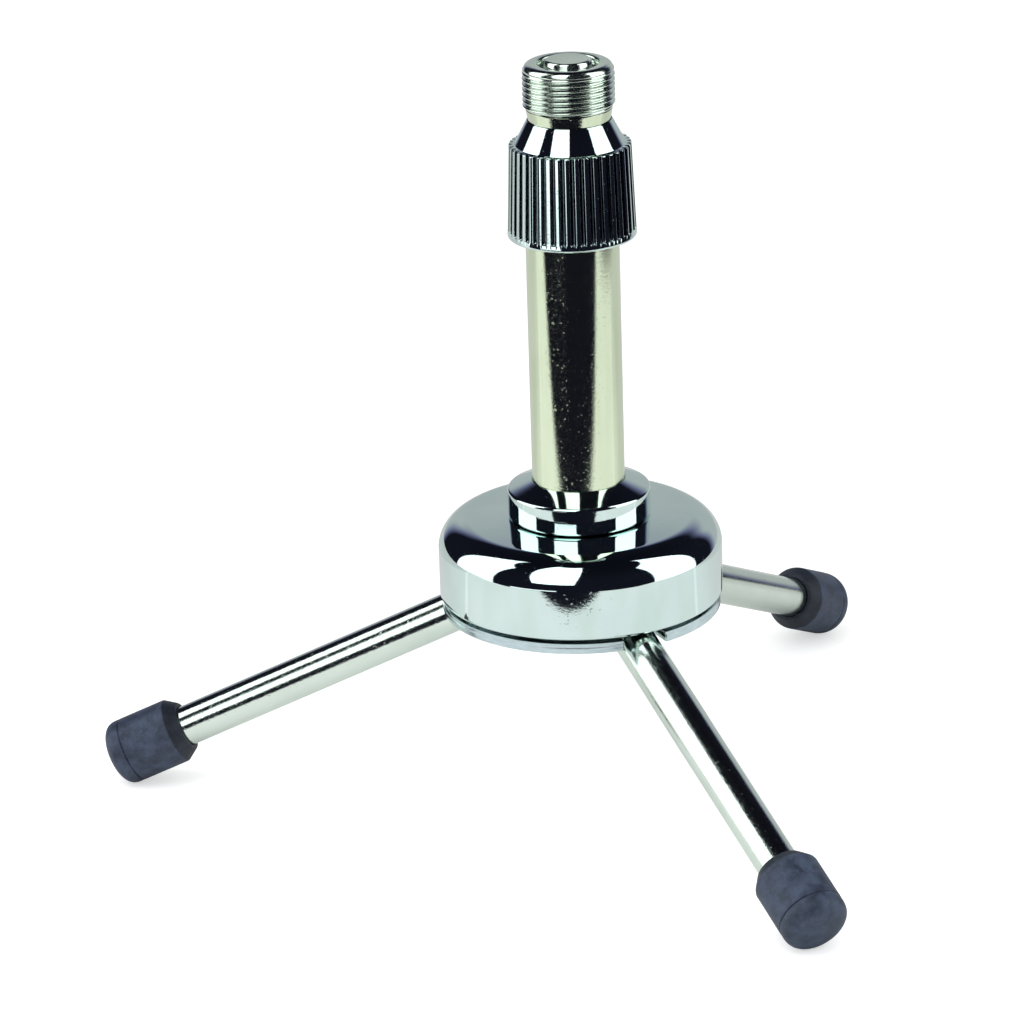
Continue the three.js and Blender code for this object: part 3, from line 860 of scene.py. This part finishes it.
def make_leg_tube(number, pivot, along, up):
    """Leg tube with a square end, closed on the tongue by four tapering crimps."""
    radius, start, end = along_leg(f"leg_tube_{number}", pivot, along)
    wall = 0.8 * MM
    crimp_length = 4.6 * MM
    crimp_depth = 1.0 * MM
    crimp_width = math.radians(21)
    crimps = [math.radians(a) for a in (70, 160, 250, 340)]
    slot_side = 1.52 * MM
    slot_up = 2.12 * MM

    def crimped(angle, reach, height):
        if reach < radius - 1.5 * wall:
            to_side = slot_side / max(abs(math.cos(angle)), 1e-6)
            to_top = slot_up / max(abs(math.sin(angle)), 1e-6)
            return min(to_side, to_top)
        left = 1 - (height - start) / crimp_length
        if left <= 0 or reach < radius - 0.6 * wall:
            return reach
        for middle in crimps:
            offset = abs(math.remainder(angle - middle, 2 * math.pi)) / (crimp_width * left ** 0.7)
            if offset < 1:
                return reach - crimp_depth * left * (1 - offset) * (1 + 0.35 * offset)
        return reach

    outline = rounded([
        (radius - wall, end, 0),
        (radius - wall, start + 8 * MM, 0),
        (slot_side, start + 7 * MM, 0),
        (slot_side, start, 0),
        (radius, start, 0.35 * MM),
        (radius, end, 0.1 * MM),
    ])
    edge = outline.index(min(outline[4:], key=lambda point: abs(point[1] - start - 0.35 * MM)))
    rows = [(radius, start + 0.45 * MM + 0.12 * MM * i) for i in range(38)]
    outline = outline[:edge + 1] + rows + outline[edge + 2:]
    piece = turned(f"leg_{number}", outline, 240, crimped, 40)
    stand_for(piece, f"leg_tube_{number}", leg_matrix(pivot, along, up), PALE_NICKEL)


def make_foot(number, pivot, along, up):
    """Rubber foot: bevelled mouth, straight body, and a domed end above a moulding line. The mouth gets a darker
    copy of the rubber, a painted shade where the foot meets the leg.
    """
    radius, mouth, tip = along_leg(f"foot_cap_{number}", pivot, along)
    leg_radius, _, leg_end = along_leg(f"leg_tube_{number}", pivot, along)
    bore = leg_radius + TUBE_FIT
    radius -= TUBE_FIT
    body = tip - FOOT_BODY
    line = tip - FOOT_DOME
    outline = rounded([
        (bore, leg_end + 0.1 * MM, 0),
        (bore, mouth, 0.25 * MM),
        (bore + 0.75 * MM, mouth, 0.3 * MM),
        (radius, body, 0.5 * MM),
        (radius, line - 0.34 * MM, 0.06 * MM),
        (radius - 0.3 * MM, line - 0.17 * MM, 0.05 * MM),
        (radius - 0.03 * MM, line, 0),
    ])
    for step in range(1, 30):
        angle = math.radians(90 * step / 30)
        outline.append((radius * math.cos(angle), line + FOOT_DOME * math.sin(angle) ** FOOT_DOME_POWER))
    outline = [(0, leg_end + 0.1 * MM)] + outline + [(0, tip)]
    piece = turned(f"foot_{number}", outline, 128, None, 50)
    # Faces at the mouth take the darker rubber, a painted shade where the foot meets the leg.
    for polygon in piece.data.polygons:
        polygon.material_index = int(polygon.center.z < body - 0.2 * MM)
    stand_for(piece, f"foot_cap_{number}", leg_matrix(pivot, along, up))
    piece.data.materials.append(SHADED_RUBBER_MOUTH)


for leg_joint in LEGS:
    leg_number, leg_pivot, leg_along, leg_up, leg_pin = leg_frame(leg_joint)
    make_pin(leg_number, leg_pivot, leg_pin)
    make_tongue(leg_number, leg_pivot, leg_along, leg_up)
    make_leg_tube(leg_number, leg_pivot, leg_along, leg_up)
    make_foot(leg_number, leg_pivot, leg_along, leg_up)

# ---------------------------------------------------------------- clutch nut

FLUTES = 40
FLUTE_STEPS = 24            # mesh steps per flute
FLUTE_DEPTH = 0.6 * MM
FLUTE_SHARE = 0.5           # groove width as a share of the pitch


def flute_depth(angle):
    """Depth of the fluting at an angle: slightly crowned ridges with rounded edges, and round grooves.
    A ridge's middle faces +X."""
    pitch = 2 * math.pi / FLUTES
    offset = abs(math.remainder(angle, pitch)) / pitch
    ridge = (1 - FLUTE_SHARE) / 2
    crown = 0.03 * MM * min(1.0, offset / ridge) ** 2
    if offset < ridge:
        return crown + 0.06 * MM * max(0.0, (offset / ridge - 0.75) / 0.25) ** 2
    side = (offset - ridge) / (0.5 - ridge)
    return 0.09 * MM + (FLUTE_DEPTH - 0.09 * MM) * math.sqrt(1 - (1 - side) ** 2)


def grip_rows(bottom, radius, taper, ledge, band):
    """Outline of the grip, with close rows where the flutes run in above the band."""
    heights = [band + 0.06 * MM * i for i in range(11)]
    heights += [band + 0.6 * MM + (ledge - 0.2 * MM - band - 0.6 * MM) * i / 8 for i in range(1, 9)]
    heights.append(ledge - 0.13 * MM)
    return [(radius + taper * (height - bottom), height) for height in heights]


def make_clutch_nut():
    """Fluted, slightly tapered grip between a plain band and a scalloped ledge, under a polished cone. The deep
    faces of the flutes get a dark chrome, a painted shade in the grooves.
    """
    radius, bottom, top = span("clutch_nut")
    band = bottom + 1.1 * MM
    ledge = bottom + 16.4 * MM
    ledge_radius = radius * 0.945
    taper = (ledge_radius - radius) / (ledge - bottom)
    cone_radius = 9.41 * MM
    cone_foot = ledge + 0.25 * MM
    lip = span("inner_tube")[0] + 0.12 * MM
    hole = TUBE_RADIUS + 0.15 * MM
    thread_bore = 9.5 * MM

    def fluted(angle, reach, height):
        if reach < cone_radius + 0.2 * MM or not band < height < ledge + 0.01 * MM:
            return reach
        run_in = min(1.0, (height - band) / (0.6 * MM))
        return reach - flute_depth(angle) * math.sqrt(run_in * (2 - run_in))

    outline = rounded([
        (hole, bottom + 1.6 * MM, 0),
        (hole, bottom, 0.1 * MM),
        (radius, bottom, 0.4 * MM),
        (radius, band, 0),
    ])[:-1]
    outline += grip_rows(bottom, radius, taper, ledge, band)
    outline += [
        (ledge_radius - 0.04 * MM, ledge - 0.06 * MM),
        (ledge_radius - 0.14 * MM, ledge),
        (cone_radius + 0.25 * MM, ledge + 0.02 * MM),
        (cone_radius + 0.08 * MM, ledge + 0.08 * MM),
        (cone_radius, cone_foot),
        (cone_radius - 0.03 * MM, cone_foot + HOLD),
        (lip + 0.14 * MM, top - 0.15 * MM),
        (lip + 0.1 * MM, top - 0.1 * MM),
        (lip + 0.03 * MM, top),
        (lip, top),
        (lip, top - 4.5 * MM),
        (thread_bore, top - 9 * MM),
        (thread_bore, bottom + 1.6 * MM),
    ]
    piece = turned("fluted_nut", outline, FLUTES * FLUTE_STEPS, fluted, 40)
    # Faces deep in the flutes take the dark chrome, a painted shade in the grooves.
    for polygon in piece.data.polygons:
        x, y, height = polygon.center
        depth = radius + taper * (height - bottom) - math.hypot(x, y)
        in_grip = band + 0.2 * MM < height < ledge
        polygon.material_index = int(in_grip and 0.15 * MM < depth < FLUTE_DEPTH + 0.1 * MM)
    stand_for(piece, "clutch_nut")
    piece.data.materials.append(SHADED_GROOVE_CHROME)


make_clutch_nut()

# ---------------------------------------------------------------- rod and microphone thread

INCH = 25.4 * MM
THREAD_PITCH = INCH / 27
THREAD_DEPTH = 0.5 * MM
ROWS_PER_TURN = 20


def make_inner_tube():
    """Inner tube, opened out a little just below the thread."""
    radius, bottom, top = span("inner_tube")
    wall = 0.8 * MM
    neck = span("clutch_nut")[2] + 0.1 * MM
    outline = rounded([
        (radius - wall, bottom, 0.1 * MM),
        (radius, bottom, 0.2 * MM),
        (radius, neck, 0.3 * MM),
        (radius + 0.33 * MM, top, 0.05 * MM),
        (radius - wall, top, 0.1 * MM),
    ])
    stand_for(turned("rod_tube", outline, 192), "inner_tube")


def make_spigot():
    """Threaded end: a right-hand thread with flat crests that runs out at both ends, and a rounded rim."""
    major, bottom, top = span("thread_spigot")
    shoulder = span("inner_tube")[2] + 0.1 * MM
    bore = 5.3 * MM
    stem = 6.2 * MM
    root = major - THREAD_DEPTH
    rim_round = 1.3 * MM
    thread_low = shoulder + 0.1 * MM
    thread_high = top - rim_round + 0.3 * MM

    def threaded(angle, reach, height):
        if reach < root - 0.01 * MM or height < thread_low - 1e-9:
            return reach
        phase = (height / THREAD_PITCH - angle / (2 * math.pi)) % 1
        ridge = 0.5 - 0.5 * math.cos(2 * math.pi * phase)
        run_in = min(1.0, max(0.0, (height - thread_low) / (0.5 * THREAD_PITCH)))
        run_out = min(1.0, max(0.0, (thread_high - height) / (0.9 * THREAD_PITCH)))
        return root + (reach - root) * (ridge * min(run_in, run_out) + max(0.0, 1 - run_out) * 0.72)

    count = round((thread_high - thread_low) / THREAD_PITCH * ROWS_PER_TURN)
    outline = [(bore, bottom), (stem, bottom), (stem, shoulder), (root, shoulder)]
    outline += [(major, thread_low + (thread_high - thread_low) * i / count) for i in range(count + 1)]
    outline += [
        (major - 0.14 * MM - rim_round * (1 - math.cos(math.radians(a))),
         top - rim_round + rim_round * math.sin(math.radians(a)))
        for a in range(15, 91, 8)
    ]
    outline += [
        (bore + 0.35 * MM, top),
        (bore + 0.1 * MM, top - 0.1 * MM),
        (bore, top - 0.35 * MM),
    ]
    stand_for(turned("thread", outline, 200, threaded, 60), "thread_spigot", finish=WORN_NICKEL)


def make_plug():
    """Plug in the threaded end, with a flat button standing in a rounded recess."""
    radius, bottom, top = span("spigot_plug")
    button_top = top - 0.2 * MM
    outline = rounded([
        (0, bottom, 0),
        (radius + 0.25 * MM, bottom, 0.2 * MM),
        (radius + 0.25 * MM, top - 1.9 * MM, 0.1 * MM),
        (radius - 0.75 * MM, top - 1.6 * MM, 0.35 * MM),
        (3.85 * MM, button_top, 0.45 * MM),
        (0, button_top, 0),
    ])
    stand_for(turned("button_plug", outline, 144), "spigot_plug", finish=WORN_NICKEL)


make_inner_tube()
make_spigot()
make_plug()
